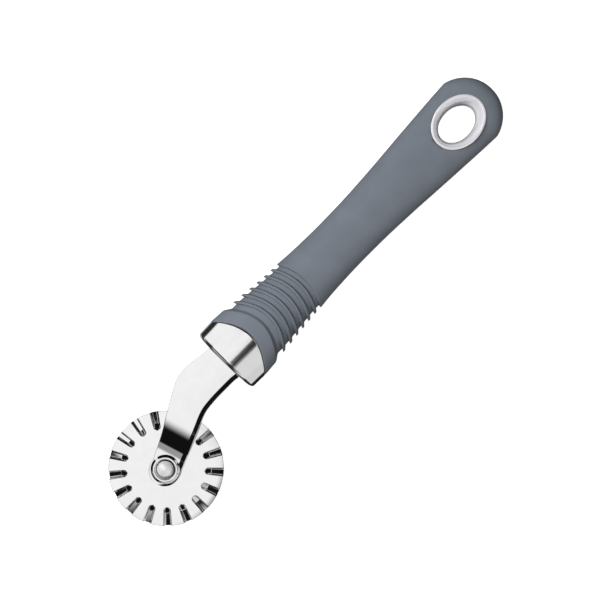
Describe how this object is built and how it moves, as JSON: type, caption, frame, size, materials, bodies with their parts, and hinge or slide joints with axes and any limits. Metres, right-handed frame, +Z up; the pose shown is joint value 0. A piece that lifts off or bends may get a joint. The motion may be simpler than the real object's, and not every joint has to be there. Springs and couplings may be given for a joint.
{
  "type": "pastry cutter wheel",
  "caption": "Hand pastry cutter: a fluted steel wheel turns on a swan-necked steel arm, fixed in a polished ferrule and a ribbed soft-grip handle with a metal-lined hanging hole.",
  "frame": {"origin": "centre of the bounding box's base, with the tool lying flat", "axes": "+X along the handle towards the wheel, +Y to the side that the arm swans to, +Z up, out of the wheel's front face"},
  "size_m": [0.198, 0.0456, 0.0212],
  "materials": {
    "wheel_steel": "polished stainless steel",
    "rivet_steel": "polished stainless steel",
    "washer_steel": "polished stainless steel",
    "spacer_washer_nylon": "plain nylon",
    "back_washer_steel": "satin stainless steel",
    "arm_steel": "polished stainless steel",
    "ferrule_steel": "mirror-polished stainless steel",
    "soft_grip_rubber": "matte blue-grey soft touch",
    "core_plastic": "plain moulded plastic",
    "hang_ring_front_metal": "polished",
    "hang_ring_back_metal": "polished"
  },
  "bodies": {
    "handle": {"axle_rivet": "rivet_steel", "head_washer": "washer_steel", "thrust_washer": "spacer_washer_nylon", "back_washer": "back_washer_steel", "wheel_arm": "arm_steel", "ferrule": "ferrule_steel", "soft_grip": "soft_grip_rubber", "handle_core": "core_plastic", "hang_ring_front": "hang_ring_front_metal", "hang_ring_back": "hang_ring_back_metal"},
    "wheel": {"cutter_wheel": "wheel_steel"}
  },
  "joints": [
    {"name": "wheel_spin", "type": "hinge", "parent": "handle", "child": "wheel", "pos_m": [0.07841, 0.00222, 0.0058], "axis": [0, 0, 1], "continuous": true}
  ]
}
